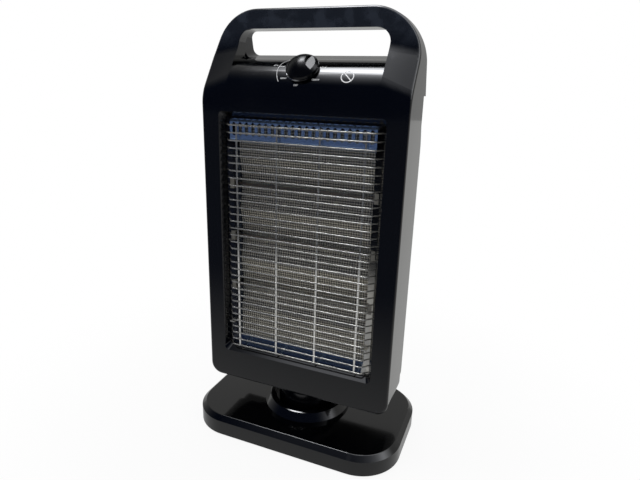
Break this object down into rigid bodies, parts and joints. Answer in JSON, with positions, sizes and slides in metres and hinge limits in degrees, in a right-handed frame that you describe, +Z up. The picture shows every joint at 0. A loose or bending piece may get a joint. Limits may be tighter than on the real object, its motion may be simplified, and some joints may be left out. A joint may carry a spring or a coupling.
{
  "type": "electric radiator",
  "caption": "Free-standing radiant heater with a gloss black head on a swivelling neck, a wire guard over an embossed reflector with quartz lamps, a carry handle and a selector knob.",
  "frame": {"origin": "floor under the swivel axis, at the middle of the base", "axes": "+X to the right seen from the front, -Y towards the front, +Z up"},
  "size_m": [0.306, 0.1905, 0.5755],
  "materials": {
    "gloss_black": "gloss black moulded plastic, fine dust",
    "base_plate": "matt black sheet",
    "ballast": "raw steel slab",
    "bracket_steel": "zinc-plated steel",
    "motor_can": "plated motor can",
    "inner_plastic": "dark technical plastic",
    "bush_plastic": "white bearing plastic",
    "polished_sheet": "bright rolled aluminium sheet",
    "embossed_sheet": "embossed aluminium sheet",
    "chrome_wire": "chromed steel wire",
    "bezel_ring": "silvered ring",
    "cutout_can": "small aluminium can",
    "quartz": "clear quartz tube",
    "filament": "coiled tungsten filament",
    "lamp_ceramic": "white ceramic cap",
    "foot_rubber": "black rubber"
  },
  "bodies": {
    "base": {"base_shell": "gloss_black", "base_plate": "base_plate", "ballast_plate": "ballast", "cord_gland": "inner_plastic", "tip_switch": "inner_plastic", "bearing_bush": "bush_plastic", "collar_ring": "gloss_black", "swing_motor": "motor_can", "foot_1": "foot_rubber", "foot_2": "foot_rubber", "foot_3": "foot_rubber", "foot_4": "foot_rubber"},
    "head": {"drive_arm": "bracket_steel", "embossed_reflector": "embossed_sheet", "filament_1": "filament", "filament_2": "filament", "filament_3": "filament", "front_cover": "gloss_black", "grille": "chrome_wire", "grille_clip_left": "chrome_wire", "grille_clip_right": "chrome_wire", "head_bracket": "bracket_steel", "knob_bezel": "bezel_ring", "lamp_bracket_left": "bracket_steel", "lamp_bracket_right": "bracket_steel", "lamp_cap_left_1": "lamp_ceramic", "lamp_cap_left_2": "lamp_ceramic", "lamp_cap_left_3": "lamp_ceramic", "lamp_cap_right_1": "lamp_ceramic", "lamp_cap_right_2": "lamp_ceramic", "lamp_cap_right_3": "lamp_ceramic", "lamp_tube_1": "quartz", "lamp_tube_2": "quartz", "lamp_tube_3": "quartz", "neck_cover": "gloss_black", "rear_cover": "gloss_black", "reflector_tray": "polished_sheet", "rotary_switch": "inner_plastic", "spindle": "bracket_steel", "spindle_nut": "bracket_steel", "terminal_block": "inner_plastic", "thermal_cutout": "cutout_can", "top_deflector": "polished_sheet"},
    "knob": {"knob": "gloss_black", "switch_shaft": "bracket_steel"},
    "plunger": {"tip_plunger": "inner_plastic"},
    "crank": {"swing_crank": "bracket_steel"}
  },
  "joints": [
    {"name": "head_swing", "type": "hinge", "parent": "base", "child": "head", "pos_m": [0, 0, 0.03], "axis": [0, 0, 1], "range_deg": [-30, 30]},
    {"name": "crank_turn", "type": "hinge", "parent": "base", "child": "crank", "pos_m": [0, 0.042, 0.02], "axis": [0, 0, 1], "range_deg": [-90, 90]},
    {"name": "knob_turn", "type": "hinge", "parent": "head", "child": "knob", "pos_m": [0, -0.03965, 0.50431], "axis": [0, -0.6947, 0.7193], "range_deg": [-154.3, 154.3]},
    {"name": "plunger_slide", "type": "slide", "parent": "base", "child": "plunger", "axis": [0, 0, 1], "range_m": [-0.004, 0], "stiffness_N_per_m": 100, "springref_m": -0.006}
  ],
  "couplings": [
    {"joint": "crank_turn", "follows": "head_swing", "ratio": 3}
  ]
}
